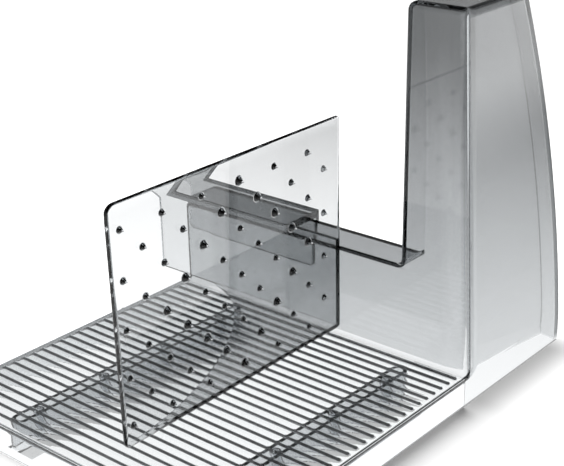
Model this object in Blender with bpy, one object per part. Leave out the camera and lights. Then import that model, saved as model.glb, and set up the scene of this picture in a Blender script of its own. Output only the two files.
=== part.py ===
# Food carriage of a hand-fed slicer: a ribbed table with a hollow thumb guard, two guide rails
# under it, and a spiked pusher that rides on the guard's low wall.
# Metres, +Z up. The origin lies under the middle of the whole part, on the surface it stands on.
# The pieces are drawn in a carriage frame: X = 0 is the blade-side face, Y = 0 the food side of the
# guard's wall and Z = 0 the table's top. Two empties carry them: the carriage, and the pusher's slide.

import math

import bmesh
import bpy

MM = 0.001

# Clearances
SLIDE_CLEARANCE = 0.3 * MM      # between the pusher and what it slides on
SEAM_GAP = 0.1 * MM             # between two mouldings that are glued or pressed together
PEG_CLEARANCE = 0.3 * MM        # around each peg in its post
OVERRUN = 4.0 * MM              # how far a cutter passes the face that it cuts
BURY = 0.5 * MM                 # how deep a rib, spike or peg is rooted in its carrier

# Table
TABLE_WIDTH = 156.3 * MM
TABLE_FRONT = 141.8 * MM        # from the guard's wall to the front edge
SKIRT_HEIGHT = 12.8 * MM
TABLE_WALL = 2.0 * MM
TABLE_EDGE_RADIUS = 1.8 * MM
TABLE_CORNER_RADIUS = 3.0 * MM

# Ribs on the table
RIB_PITCH = 5.0 * MM
RIB_WIDTH = 1.6 * MM
RIB_HEIGHT = 0.85 * MM
RIB_FIRST = 6.6 * MM            # from the guard's wall to the first rib
RIB_FRONT_MARGIN = 4.0 * MM     # least distance from the last rib to the front edge
RIB_LEFT_INSET = 2.9 * MM
RIB_BLADE_INSET = 2.65 * MM
RIB_TIP_SHARE = 0.3             # the first ring of a ball end, as a share of one step of its arc

# Guide rails under the table
RAIL_SETBACKS = {"right_guide_rail": 26.0 * MM, "left_guide_rail": 117.0 * MM}
RAIL_WIDTH = 7.2 * MM
RAIL_WALL = 1.7 * MM
RAIL_REAR = 9.5 * MM            # from the guard's wall to the rail's rear end
RAIL_FRONT_INSET = 5.8 * MM     # from the table's front edge to the rail's front end
POST_COUNT = 4
POST_END_INSET = 12.6 * MM      # from each end of the rail to the nearest post's centre
POST_BITE = 0.2 * MM            # how far a post runs into the rail's two walls
PEG_DIAMETER = 2.0 * MM
PEG_LENGTH = 8.0 * MM

# Guard: low wall, front leg and fin, as one hollow shell
GUARD_WALL = 2.0 * MM
FOOT_REACH = 4.3 * MM           # from the wall's food side to the seam with the table
FOOT_FILLET = 2.5 * MM
ARM_HEIGHT = 38.4 * MM
ARM_THICKNESS = 18.25 * MM
ARM_END_RADIUS = 3.0 * MM
ARM_END_WALL = 1.0 * MM         # the low wall's closed left end is thinner than its sides
ARM_EDGE_RADIUS = 1.0 * MM
LEDGE_FALL = 0.05 * MM          # how much the foot and the low wall's top fall away from the leg
JUNCTION_RADIUS = 2.5 * MM      # between the low wall's top and the leg's side
GUARD_HEIGHT = 146.0 * MM
LEG_WIDTH = 35.25 * MM          # from the blade-side face to the leg's left side
LEG_DRAFT = 0.0084              # how the leg's left side leans towards the blade
LEG_TOP_THICKNESS = 12.0 * MM
LEG_REAR_POWER = 2              # the leg's rear bows evenly from the low wall up to its top
LEG_CORNER_RADIUS = 1.8 * MM
NEAR_CORNER_RADIUS = 1.2 * MM   # the leg's corner beside the blade, outside
NEAR_INNER_FRONT = 3.5 * MM     # the same corner inside the shell, along its food side
NEAR_INNER_SIDE = 9.4 * MM      # and along the blade side
BLADE_LEAN = 0.047              # how the blade-side face leans away from the blade
FIN_DEPTH = 71.25 * MM          # from the wall's food side to the fin's rear, at the table
FIN_DRAFT_RUN = 5.1 * MM        # how far the rear comes forward evenly, floor to top
FIN_BOW_RUN = 25.4 * MM         # how far it bows forward besides, most of it near the top
FIN_BOW_POWER = 2
FIN_WIDTH = 11.2 * MM
FIN_REAR_SKEW = 0.18
FIN_TAPER = 0.145
FIN_CORNER_RADIUS = 1.2 * MM
FIN_INNER_RADIUS = 5.0 * MM
THROAT_RADIUS = 6.0 * MM        # between the fin's inner side and the leg's rear
TOP_EDGE_RADIUS = 3.5 * MM
LEAST_CORNER = 0.3 * MM

# Spiked plate
PLATE_TO_BLADE = 65.25 * MM     # from the blade-side face to the plate's spiked face, at rest
PLATE_THICKNESS = 2.2 * MM
PLATE_FRONT = 125.6 * MM        # from the guard's wall to the foot of the plate's front edge
PLATE_FRONT_LEAN = 0.015        # how the front edge leans outwards
PLATE_REAR = 0.3 * MM
PLATE_CLEARANCE = 0.75 * MM     # between the plate and the ribs
PLATE_TOP = 96.1 * MM
PLATE_FRONT_RADIUS = 4.0 * MM
PLATE_REAR_RADIUS = 2.0 * MM
PLATE_FOOT_RADIUS = 2.0 * MM
PLATE_EDGE_RADIUS = 1.0 * MM
RIM_HEIGHT = 5.0 * MM           # band under the top edge where the plate thins
RIM_THINNING = 0.2 * MM

# Spikes: a quincunx of columns and rows, with a ring of larger ones
SPIKE_COLUMN_PITCH = 10.0 * MM
SPIKE_ROW_PITCH = 9.48 * MM
SPIKE_FIRST_COLUMN = 11.8 * MM  # from the guard's wall
SPIKE_ROW_BASE = 0.75 * MM      # one row pitch below the lowest row
SPIKE_EDGE_MARGIN = 3.0 * MM    # least distance from a spike's centre to the plate's edge
SPIKE_DIAMETER = 2.8 * MM
SPIKE_LENGTH = 2.3 * MM
BIG_SPIKE_DIAMETER = 3.8 * MM
BIG_SPIKE_LENGTH = 2.8 * MM
SPIKE_TIP_DIAMETER = 0.4 * MM
RING_CENTRE_COLUMN = 5
RING_CENTRE_ROW = 5
RING_STEPS = 4

# Saddle
SADDLE_REACH = 106.25 * MM      # from the plate's spiked face to the saddle's left end
SADDLE_SETBACK = 29.6 * MM      # from the plate's spiked face to the sheet's blade-side end
PANEL_THICKNESS = 2.0 * MM
SHEET_THICKNESS = 3.6 * MM
FLANGE_THICKNESS = 2.2 * MM
FLANGE_BOTTOM = 16.2 * MM
SADDLE_EDGE_RADIUS = 1.5 * MM
SADDLE_CORNER_RADIUS = 2.0 * MM
WEB_THICKNESS = 2.0 * MM
WEB_REACH = 70.0 * MM           # along the wall, from the plate's back
WEB_FRONT_INSET = 1.7 * MM      # from the plate's front edge to the web's front tip
WEB_CURVE_POWER = 0.66          # below 1 the free edge is hollow
WEB_TIP_SHARE = 0.03

# How finely round shapes are divided
CORNER_STEPS = 3
NEAR_CORNER_STEPS = 5
THROAT_STEPS = 4
ARC_STEPS = 4
RIB_SIDES = 12
SPIKE_SIDES = 12
POST_SIDES = 16
BORE_SIDES = 12
RAIL_END_STEPS = 8
WEB_STEPS = 14
WALL_LEVELS = 4
TOWER_LEVELS = 9

SMOOTH_ANGLE = math.radians(40)
MERGE_DISTANCE = 0.0001 * MM

# Plastic
CLEAR = (0.92, 0.95, 0.96, 1.0)
SMOKE = (0.80, 0.83, 0.85, 1.0)
PLASTIC_IOR = 1.49
PLASTIC_TRANSMISSION = 0.9
POLISHED = 0.05
SMOOTH = 0.12


# Scene and mesh helpers

def clear_scene():
    for old in list(bpy.data.objects):
        bpy.data.objects.remove(old, do_unlink=True)


def make_material(name, colour, roughness):
    material = bpy.data.materials.new(name)
    material.use_nodes = True
    shader = material.node_tree.nodes["Principled BSDF"]
    shader.inputs["Base Color"].default_value = colour
    shader.inputs["Roughness"].default_value = roughness
    shader.inputs["Metallic"].default_value = 0.0
    shader.inputs["IOR"].default_value = PLASTIC_IOR
    shader.inputs["Transmission Weight"].default_value = PLASTIC_TRANSMISSION
    return material


def add_object(name, bm, smooth_angle=None):
    bmesh.ops.remove_doubles(bm, verts=bm.verts[:], dist=MERGE_DISTANCE)
    bmesh.ops.recalc_face_normals(bm, faces=bm.faces[:])
    mesh = bpy.data.meshes.new(name)
    bm.to_mesh(mesh)
    bm.free()
    if smooth_angle is not None:
        mesh.shade_smooth()
        mesh.set_sharp_from_angle(angle=smooth_angle)
    made = bpy.data.objects.new(name, mesh)
    bpy.context.collection.objects.link(made)
    return made


def finish_node(node, parent, material):
    node.parent = parent
    node.data.materials.clear()
    node.data.materials.append(material)


def add_helper(name, bm, parent):
    helper = add_object(name, bm)
    helper.hide_render = True
    helper.display_type = "WIRE"
    helper.parent = parent
    return helper


def combine(node, helper, operation):
    step = node.modifiers.new(helper.name, "BOOLEAN")
    step.operation = operation
    step.solver = "EXACT"
    step.object = helper


def add_ring(bm, points):
    return [bm.verts.new(point) for point in points]


def bridge(bm, ring_a, ring_b):
    count = len(ring_a)
    for index in range(count):
        after = (index + 1) % count
        bm.faces.new((ring_a[index], ring_a[after], ring_b[after], ring_b[index]))


# A closed solid through a row of rings with equal numbers of points, capped at both ends
def add_loft(bm, rings):
    made = [add_ring(bm, ring) for ring in rings]
    for lower, upper in zip(made, made[1:]):
        bridge(bm, lower, upper)
    bm.faces.new(list(reversed(made[0])))
    bm.faces.new(made[-1])
    return made


def add_box(bm, low, high):
    corners = [(low[0], low[1]), (high[0], low[1]), (high[0], high[1]), (low[0], high[1])]
    add_loft(bm, [[(x, y, z) for x, y in corners] for z in (low[2], high[2])])


# An outline with each corner rounded between the two points where its arc leaves the sides.
# A corner is (x, y, length along the side before it, length along the side after it, steps), and
# steps 0 is a plain point. Where two corners meet, the arcs run along the sides as far as they go.
def rounded_outline(corners):
    points = []
    count = len(corners)
    for index, (x, y, before, after, steps) in enumerate(corners):
        if steps == 0:
            points.append((x, y))
            continue
        last = corners[index - 1]
        following = corners[(index + 1) % count]
        back_length = max(math.hypot(last[0] - x, last[1] - y), before)
        next_length = max(math.hypot(following[0] - x, following[1] - y), after)
        for step in range(steps + 1):
            turn = 0.5 * math.pi * step / steps
            along_back = before * (1 - math.sin(turn)) / back_length
            along_next = after * (1 - math.cos(turn)) / next_length
            points.append((x + (last[0] - x) * along_back + (following[0] - x) * along_next,
                           y + (last[1] - y) * along_back + (following[1] - y) * along_next))
    return points


def circle(centre, radius, sides, turn=0.0):
    angles = [2 * math.pi * (index + turn) / sides for index in range(sides)]
    return [(centre[0] + radius * math.cos(a), centre[1] + radius * math.sin(a)) for a in angles]


# Drop of a rounded edge: how far the surface lies inside the full shape at this distance from the end
def edge_drop(radius, distance):
    if distance >= radius:
        return 0.0
    return radius - math.sqrt(max(radius ** 2 - (radius - distance) ** 2, 0.0))


# Ribbed table

def table_ring(inset, z, rear):
    front_radius = max(TABLE_CORNER_RADIUS - inset, LEAST_CORNER)
    left, right = -TABLE_WIDTH + inset, -inset
    front = -TABLE_FRONT + inset
    corners = [
        (left, front, front_radius, front_radius, CORNER_STEPS),
        (right, front, front_radius, front_radius, CORNER_STEPS),
        (right, rear, 0.0, 0.0, 0),
        (left, rear, 0.0, 0.0, 0),
    ]
    return [(x, y, z) for x, y in rounded_outline(corners)]


def table_rings(wall, rear, bottom):
    radius = TABLE_EDGE_RADIUS - wall if wall < TABLE_EDGE_RADIUS else LEAST_CORNER
    rings = [table_ring(wall, bottom, rear)]
    for step in range(ARC_STEPS + 1):
        turn = 0.5 * math.pi * step / ARC_STEPS
        inset = wall + radius * (1 - math.cos(turn))
        rings.append(table_ring(inset, -wall - radius + radius * math.sin(turn), rear))
    return rings


def rib_places():
    span = TABLE_FRONT - RIB_FIRST - RIB_FRONT_MARGIN
    count = int(span / RIB_PITCH) + 1
    return [-RIB_FIRST - RIB_PITCH * index for index in range(count)]


# A rib is a round bar with ball ends, more than half of it under the table's top
def add_rib(bm, y):
    radius = 0.5 * RIB_WIDTH
    axis_z = RIB_HEIGHT - radius
    left = -TABLE_WIDTH + RIB_LEFT_INSET + radius
    right = -RIB_BLADE_INSET - radius
    rings = []
    for end, side in ((left, -1), (right, 1)):
        for step in range(CORNER_STEPS):
            turn = 0.5 * math.pi * (step + RIB_TIP_SHARE) / CORNER_STEPS
            if side > 0:
                turn = 0.5 * math.pi - turn
            x = end + side * radius * math.cos(turn)
            around = circle((y, axis_z), radius * math.sin(turn), RIB_SIDES, 0.5)
            rings.append([(x, a, b) for a, b in around])
    add_loft(bm, rings)


def rail_length():
    return TABLE_FRONT - RAIL_FRONT_INSET - RAIL_REAR


def post_places(setback):
    first = -RAIL_REAR - POST_END_INSET
    pitch = (rail_length() - 2 * POST_END_INSET) / (POST_COUNT - 1)
    return [(-setback, first - pitch * index) for index in range(POST_COUNT)]


def build_table(parent, material):
    rear = -FOOT_REACH - SEAM_GAP
    bm = bmesh.new()
    add_loft(bm, table_rings(0.0, rear, -SKIRT_HEIGHT))
    table = add_object("ribbed_table", bm, SMOOTH_ANGLE)
    bm = bmesh.new()
    add_loft(bm, table_rings(TABLE_WALL, rear + OVERRUN, -SKIRT_HEIGHT - OVERRUN))
    combine(table, add_helper("table_hollow", bm, parent), "DIFFERENCE")
    bm = bmesh.new()
    for y in rib_places():
        add_rib(bm, y)
    combine(table, add_helper("rib_bank", bm, parent), "UNION")
    bm = bmesh.new()
    for setback in RAIL_SETBACKS.values():
        for place in post_places(setback):
            ring = circle(place, 0.5 * PEG_DIAMETER, BORE_SIDES)
            low, high = -TABLE_WALL - PEG_LENGTH, -TABLE_WALL + BURY
            add_loft(bm, [[(x, y, z) for x, y in ring] for z in (low, high)])
    combine(table, add_helper("peg_bank", bm, parent), "UNION")
    finish_node(table, parent, material)
    return table


# Guide rails

def rail_outline(centre_x, half_width):
    rear = -RAIL_REAR - 0.5 * RAIL_WIDTH
    front = -RAIL_REAR - rail_length() + 0.5 * RAIL_WIDTH
    points = []
    for centre_y, start in ((rear, 0.0), (front, math.pi)):
        for step in range(RAIL_END_STEPS + 1):
            turn = start + math.pi * step / RAIL_END_STEPS
            points.append((centre_x + half_width * math.cos(turn), centre_y + half_width * math.sin(turn)))
    return points


def build_rail(name, parent, material):
    setback = RAIL_SETBACKS[name]
    top, bottom = -TABLE_WALL - SEAM_GAP, -SKIRT_HEIGHT
    bm = bmesh.new()
    outer = rail_outline(-setback, 0.5 * RAIL_WIDTH)
    add_loft(bm, [[(x, y, z) for x, y in outer] for z in (bottom, top)])
    rail = add_object(name, bm, SMOOTH_ANGLE)
    bm = bmesh.new()
    inner = rail_outline(-setback, 0.5 * RAIL_WIDTH - RAIL_WALL)
    levels = (bottom - OVERRUN, top + OVERRUN)
    add_loft(bm, [[(x, y, z) for x, y in inner] for z in levels])
    combine(rail, add_helper(name + "_hollow", bm, parent), "DIFFERENCE")
    bm = bmesh.new()
    post_radius = 0.5 * RAIL_WIDTH - RAIL_WALL + POST_BITE
    for place in post_places(setback):
        ring = circle(place, post_radius, POST_SIDES, 0.5)
        add_loft(bm, [[(x, y, z) for x, y in ring] for z in (bottom, top)])
    combine(rail, add_helper(name + "_posts", bm, parent), "UNION")
    bm = bmesh.new()
    for place in post_places(setback):
        ring = circle(place, 0.5 * PEG_DIAMETER + PEG_CLEARANCE, BORE_SIDES)
        add_loft(bm, [[(x, y, z) for x, y in ring] for z in levels])
    combine(rail, add_helper(name + "_bores", bm, parent), "DIFFERENCE")
    finish_node(rail, parent, material)
    return rail


# Guard. Every level of it has one outline: food side, blade side, rear of the fin, inner side of
# the fin, rear of the leg and the left end. The shell is those outlines stacked, once outside and
# once inset by the wall, and joined at the bottom rim.

def blade_side(z):
    return -BLADE_LEAN * max(z, 0.0)


def leg_side(z):
    return -LEG_WIDTH + LEG_DRAFT * max(z - ARM_HEIGHT, 0.0)


def leg_rear(z):
    rise = max(z - ARM_HEIGHT, 0.0) / (GUARD_HEIGHT - ARM_HEIGHT)
    return ARM_THICKNESS + (LEG_TOP_THICKNESS - ARM_THICKNESS) * rise ** LEG_REAR_POWER


def fin_rear(z):
    rise = z / GUARD_HEIGHT
    return FIN_DEPTH - FIN_DRAFT_RUN * rise - FIN_BOW_RUN * max(rise, 0.0) ** FIN_BOW_POWER


# Radii of one skin's corners: beside the blade along the food side and the blade side, and the fin's
def guard_corners(wall, inset, near_share):
    if wall > 0:
        return (max(NEAR_INNER_FRONT * near_share, LEAST_CORNER),
                max(NEAR_INNER_SIDE * near_share, LEAST_CORNER), FIN_INNER_RADIUS)
    near = max(NEAR_CORNER_RADIUS * near_share - inset, LEAST_CORNER)
    return near, near, max(FIN_CORNER_RADIUS - inset, LEAST_CORNER)


# One outline at height z. left and front are the finished places of those two sides, inset moves
# the other sides inwards, and drop moves only the low wall's long sides, for its rounded top edges.
def guard_outline(wall, z, left, front, inset, drop, near_share):
    skew_length = math.hypot(1.0, FIN_REAR_SKEW)
    taper_length = math.hypot(1.0, FIN_TAPER)
    right = blade_side(z) - inset
    rear_right = fin_rear(z) + FIN_REAR_SKEW * inset - inset * skew_length
    outer_x = blade_side(z) - FIN_WIDTH
    outer_y = fin_rear(z) + FIN_REAR_SKEW * FIN_WIDTH
    shift_x = inset * (taper_length - FIN_TAPER * skew_length) / (1 + FIN_TAPER * FIN_REAR_SKEW)
    shift_y = -FIN_REAR_SKEW * shift_x - inset * skew_length
    rear_left_x, rear_left_y = outer_x + shift_x, outer_y + shift_y
    back = leg_rear(z) - inset
    throat_x = rear_left_x - FIN_TAPER * (rear_left_y - back)
    near_front, near_side, fin_radius = guard_corners(wall, inset, near_share)
    leg_radius = max(LEG_CORNER_RADIUS - inset, LEAST_CORNER)
    throat = THROAT_RADIUS + inset
    run_out = max(-LEG_WIDTH - JUNCTION_RADIUS, left + leg_radius)
    full = max(leg_side(z) + inset, left + leg_radius)
    low_front, low_back = front + drop, back - drop
    corners = [
        (left, low_front, leg_radius, leg_radius, CORNER_STEPS),
        (run_out, low_front, 0.0, 0.0, 0),
        (full, front if full > run_out else low_front, 0.0, 0.0, 0),
        (right, front, near_front, near_side, NEAR_CORNER_STEPS),
        (right, rear_right, fin_radius, fin_radius, CORNER_STEPS),
        (rear_left_x, rear_left_y, fin_radius, fin_radius, CORNER_STEPS),
        (throat_x, back, throat, throat, THROAT_STEPS),
        (full, back if full > run_out else low_back, 0.0, 0.0, 0),
        (run_out, low_back, 0.0, 0.0, 0),
        (left, low_back, leg_radius, leg_radius, CORNER_STEPS),
    ]
    return rounded_outline(corners)


# Levels of one skin of the guard, from the floor up, as rings of points. wall is 0 outside.
def guard_rings(wall):
    rings = []

    def add_level(z, left, front, inset=wall, drop=0.0, near_share=1.0):
        outline = guard_outline(wall, z, left, front, inset, drop, near_share)
        rings.append([(x, y, z) for x, y in outline])

    arm_left = -TABLE_WIDTH + min(wall, ARM_END_WALL)
    foot_front = -FOOT_REACH + wall
    fillet_radius = FOOT_FILLET + wall
    add_level(-SKIRT_HEIGHT, arm_left, foot_front, near_share=0.0)
    start = math.asin(max(foot_front + FOOT_FILLET, 0.0) / fillet_radius)
    if foot_front < -FOOT_FILLET:
        add_level(-wall - LEDGE_FALL, arm_left, foot_front, near_share=0.0)
    for step in range(ARC_STEPS + 1):
        turn = start + (0.5 * math.pi - start) * step / ARC_STEPS
        front = -FOOT_FILLET + fillet_radius * math.sin(turn)
        share = (front - foot_front) / (wall - foot_front)
        add_level(FOOT_FILLET - fillet_radius * math.cos(turn), arm_left, front, near_share=share)

    arm_top = ARM_HEIGHT - LEDGE_FALL - wall
    end_radius = ARM_END_RADIUS - min(wall, ARM_END_WALL)
    edge_radius = max(ARM_EDGE_RADIUS - wall, LEAST_CORNER)
    for step in range(1, WALL_LEVELS):
        z = FOOT_FILLET + (arm_top - end_radius - FOOT_FILLET) * step / WALL_LEVELS
        add_level(z, arm_left, wall)
    for step in range(ARC_STEPS + 1):
        turn = 0.5 * math.pi * step / ARC_STEPS
        below_top = end_radius * (1 - math.sin(turn))
        drop = edge_drop(edge_radius, below_top)
        add_level(arm_top - below_top, arm_left + end_radius * (1 - math.cos(turn)), wall, drop=drop)

    junction_radius = JUNCTION_RADIUS + wall
    for step in range(ARC_STEPS + 1):
        turn = 0.5 * math.pi * step / ARC_STEPS
        left = -LEG_WIDTH - JUNCTION_RADIUS + junction_radius * math.sin(turn)
        z = ARM_HEIGHT + JUNCTION_RADIUS - junction_radius * math.cos(turn)
        add_level(z, left, wall, drop=edge_radius * (1 - math.sin(turn)))

    tower_low = ARM_HEIGHT + JUNCTION_RADIUS
    top = GUARD_HEIGHT - wall
    top_radius = max(TOP_EDGE_RADIUS - wall, LEAST_CORNER)
    for step in range(1, TOWER_LEVELS):
        z = tower_low + (top - top_radius - tower_low) * step / TOWER_LEVELS
        add_level(z, leg_side(z) + wall, wall)
    for step in range(ARC_STEPS + 1):
        turn = 0.5 * math.pi * step / ARC_STEPS
        z = top - top_radius * (1 - math.sin(turn))
        inset = wall + top_radius * (1 - math.cos(turn))
        add_level(z, leg_side(z) + inset, inset, inset=inset)
    return rings


def build_guard(parent, material):
    bm = bmesh.new()
    outer = [add_ring(bm, ring) for ring in guard_rings(0.0)]
    inner = [add_ring(bm, ring) for ring in guard_rings(GUARD_WALL)]
    for skin in (outer, inner):
        for lower, upper in zip(skin, skin[1:]):
            bridge(bm, lower, upper)
        bm.faces.new(skin[-1])
    bridge(bm, outer[0], inner[0])
    guard = add_object("back_guard", bm, SMOOTH_ANGLE)
    bm = bmesh.new()
    low = (-TABLE_WIDTH + ARM_END_WALL, -FOOT_REACH - OVERRUN, -SKIRT_HEIGHT - OVERRUN)
    high = (-GUARD_WALL, -FOOT_REACH + OVERRUN, -GUARD_WALL)
    add_box(bm, low, high)
    combine(guard, add_helper("guard_front_opening", bm, parent), "DIFFERENCE")
    finish_node(guard, parent, material)
    return guard


# Spiked plate, drawn with X = 0 at its spiked face

def plate_foot():
    return RIB_HEIGHT + PLATE_CLEARANCE


def plate_end_drops(y):
    to_front = y + PLATE_FRONT
    to_rear = -PLATE_REAR - y
    if to_front < to_rear:
        return edge_drop(PLATE_FRONT_RADIUS, to_front), edge_drop(PLATE_FOOT_RADIUS, to_front)
    return edge_drop(PLATE_REAR_RADIUS, to_rear), edge_drop(PLATE_FOOT_RADIUS, to_rear)


# Section across the plate at one place along it: a tall bar with round edges, thinned at its top
def plate_section(y):
    to_end = min(y + PLATE_FRONT, -PLATE_REAR - y)
    half = 0.5 * PLATE_THICKNESS - edge_drop(PLATE_EDGE_RADIUS, to_end)
    share = half / (0.5 * PLATE_THICKNESS)
    radius = PLATE_EDGE_RADIUS * share
    middle = -0.5 * PLATE_THICKNESS
    top_drop, foot_drop = plate_end_drops(y)
    top, foot = PLATE_TOP - top_drop, plate_foot() + foot_drop
    thinning = RIM_THINNING * share
    arcs = (
        (middle + half - radius, foot + radius, -0.5 * math.pi, 0.0),
        (middle + half - radius, top - radius, 0.0, 0.0),
        (middle - half + radius, top - radius, 0.5 * math.pi, thinning),
    )
    points = []
    for x, z, start, shift in arcs:
        for step in range(CORNER_STEPS + 1):
            turn = start + 0.5 * math.pi * step / CORNER_STEPS
            points.append((x + radius * math.cos(turn) + shift, z + radius * math.sin(turn)))
    for step in range(1, ARC_STEPS + 1):
        depth = step / ARC_STEPS
        z = top - radius - (RIM_HEIGHT - radius) * depth
        points.append((middle - half + thinning * (1 - depth) ** 2, z))
    for step in range(CORNER_STEPS + 1):
        turn = math.pi + 0.5 * math.pi * step / CORNER_STEPS
        points.append((middle - half + radius + radius * math.cos(turn), foot + radius + radius * math.sin(turn)))
    return points


# The plate widens with height, so that its front edge leans outwards
def leaned(y, z):
    return y * (1 + PLATE_FRONT_LEAN * z / PLATE_FRONT)


def plate_stations():
    front, rear = -PLATE_FRONT, -PLATE_REAR
    stations = set()
    for radius in (PLATE_EDGE_RADIUS, PLATE_FRONT_RADIUS):
        for step in range(ARC_STEPS + 1):
            stations.add(front + radius * (1 - math.cos(0.5 * math.pi * step / ARC_STEPS)))
    for radius in (PLATE_EDGE_RADIUS, PLATE_REAR_RADIUS):
        for step in range(ARC_STEPS + 1):
            stations.add(rear - radius * (1 - math.cos(0.5 * math.pi * step / ARC_STEPS)))
    return sorted(stations)


# Places of the spikes as (y, z, whether it is one of the larger ring)
def spike_places():
    places = []
    across = PLATE_FRONT - SPIKE_EDGE_MARGIN - SPIKE_FIRST_COLUMN
    up = PLATE_TOP - SPIKE_EDGE_MARGIN - SPIKE_ROW_BASE
    columns = int(across / SPIKE_COLUMN_PITCH) + 1
    rows = int(up / SPIKE_ROW_PITCH)
    for column in range(columns):
        for row in range(1, rows + 1):
            if (column + row) % 2:
                continue
            steps = abs(column - RING_CENTRE_COLUMN) + abs(row - RING_CENTRE_ROW)
            y = -SPIKE_FIRST_COLUMN - SPIKE_COLUMN_PITCH * column
            z = SPIKE_ROW_BASE + SPIKE_ROW_PITCH * row
            places.append((y, z, steps == RING_STEPS))
    return places


def add_spike(bm, y, z, diameter, length):
    slope = (diameter - SPIKE_TIP_DIAMETER) / length
    root = diameter + slope * BURY
    rings = []
    for x, size in ((-BURY, root), (length, SPIKE_TIP_DIAMETER)):
        rings.append([(x, a, b) for a, b in circle((y, z), 0.5 * size, SPIKE_SIDES, 0.5)])
    add_loft(bm, rings)


def build_plate(parent, material):
    bm = bmesh.new()
    rings = [[(x, leaned(y, z), z) for x, z in plate_section(y)] for y in plate_stations()]
    add_loft(bm, rings)
    plate = add_object("spiked_plate", bm, SMOOTH_ANGLE)
    bm = bmesh.new()
    for y, z, big in spike_places():
        if big:
            add_spike(bm, y, z, BIG_SPIKE_DIAMETER, BIG_SPIKE_LENGTH)
        else:
            add_spike(bm, y, z, SPIKE_DIAMETER, SPIKE_LENGTH)
    combine(plate, add_helper("spike_bank", bm, parent), "UNION")
    finish_node(plate, parent, material)
    return plate


# Saddle, in the same frame as the plate

# Section across the wall: side panel, sheet over the wall and rear flange
def saddle_section(x):
    rise = edge_drop(SADDLE_CORNER_RADIUS, x + SADDLE_REACH)
    rear_rise = max(rise, edge_drop(SADDLE_CORNER_RADIUS, -SADDLE_SETBACK - x))
    inner_front = -SLIDE_CLEARANCE
    outer_front = inner_front - PANEL_THICKNESS
    inner_rear = ARM_THICKNESS + SLIDE_CLEARANCE
    outer_rear = inner_rear + FLANGE_THICKNESS
    under = ARM_HEIGHT + SLIDE_CLEARANCE
    top = under + SHEET_THICKNESS
    front_bottom = panel_bottom() + rise
    rear_bottom = FLANGE_BOTTOM + rear_rise
    radius = SADDLE_EDGE_RADIUS
    corners = [
        (outer_front, front_bottom, 0.0, 0.0, 0),
        (inner_front, front_bottom, 0.0, 0.0, 0),
        (inner_front, under, LEAST_CORNER, LEAST_CORNER, 1),
        (inner_rear, under, LEAST_CORNER, LEAST_CORNER, 1),
        (inner_rear, rear_bottom, 0.0, 0.0, 0),
        (outer_rear, rear_bottom, 0.0, 0.0, 0),
        (outer_rear, top, radius, radius, CORNER_STEPS),
        (outer_front, top, radius, radius, CORNER_STEPS),
    ]
    return [(x, y, z) for y, z in rounded_outline(corners)]


def web_lift():
    return RIB_HEIGHT + SLIDE_CLEARANCE


def panel_bottom():
    return web_lift() + 0.5 * WEB_THICKNESS


def saddle_stations():
    left, right = -SADDLE_REACH, -SADDLE_SETBACK
    stations = []
    for step in range(ARC_STEPS + 1):
        along = SADDLE_CORNER_RADIUS * (1 - math.cos(0.5 * math.pi * step / ARC_STEPS))
        stations += [left + along, right - along]
    return sorted(stations)


# The panel alone, from inside the sheet to the plate's back
def panel_rings():
    inner = -SLIDE_CLEARANCE
    outer = inner - PANEL_THICKNESS
    top = ARM_HEIGHT + SLIDE_CLEARANCE + SHEET_THICKNESS
    bottom = panel_bottom()
    radius = SADDLE_EDGE_RADIUS
    back_radius = min(LEAST_CORNER, PANEL_THICKNESS - radius)
    corners = [
        (outer, bottom, 0.0, 0.0, 0),
        (inner, bottom, 0.0, 0.0, 0),
        (inner, top, back_radius, back_radius, 1),
        (outer, top, radius, radius, CORNER_STEPS),
    ]
    outline = rounded_outline(corners)
    ends = (-SADDLE_SETBACK - SADDLE_CORNER_RADIUS, -PLATE_THICKNESS - SEAM_GAP)
    return [[(x, y, z) for y, z in outline] for x in ends]


# The foot web's outline: straight along the plate and the panel, and a hollow curve between them,
# (x / reach) ** power + (y / depth) ** power = 1, with depth measured from the panel
def web_outline():
    plate_back = -PLATE_THICKNESS - SEAM_GAP
    panel_front = -SLIDE_CLEARANCE - PANEL_THICKNESS
    rooted = panel_front + 0.5 * PANEL_THICKNESS
    depth = PLATE_FRONT + panel_front - WEB_FRONT_INSET
    points = [(plate_back, rooted), (plate_back - WEB_REACH, rooted)]
    exponent = 2.0 / WEB_CURVE_POWER
    low, high = WEB_TIP_SHARE, 1.0 - WEB_TIP_SHARE
    for step in range(WEB_STEPS + 1):
        turn = 0.5 * math.pi * (low + (high - low) * step / WEB_STEPS)
        along = math.cos(turn) ** exponent
        out = math.sin(turn) ** exponent
        points.append((plate_back - WEB_REACH * along, panel_front - depth * out))
    points.append((plate_back, panel_front - depth))
    return points


def build_saddle(parent, material):
    bm = bmesh.new()
    add_loft(bm, [saddle_section(x) for x in saddle_stations()])
    saddle = add_object("pusher_saddle", bm, SMOOTH_ANGLE)
    bm = bmesh.new()
    add_loft(bm, panel_rings())
    combine(saddle, add_helper("saddle_panel", bm, parent), "UNION")
    bm = bmesh.new()
    levels = (web_lift(), web_lift() + WEB_THICKNESS)
    add_loft(bm, [[(x, y, z) for x, y in web_outline()] for z in levels])
    combine(saddle, add_helper("saddle_web", bm, parent), "UNION")
    finish_node(saddle, parent, material)
    return saddle


# Placing

def carriage_place():
    left = -PLATE_TO_BLADE - SADDLE_REACH
    rear = max(y for ring in guard_rings(0.0) for x, y, z in ring)
    return (-0.5 * left, -0.5 * (rear - TABLE_FRONT), SKIRT_HEIGHT)


def add_empty(name, parent, place):
    empty = bpy.data.objects.new(name, None)
    bpy.context.collection.objects.link(empty)
    empty.parent = parent
    empty.location = place
    return empty


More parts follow.
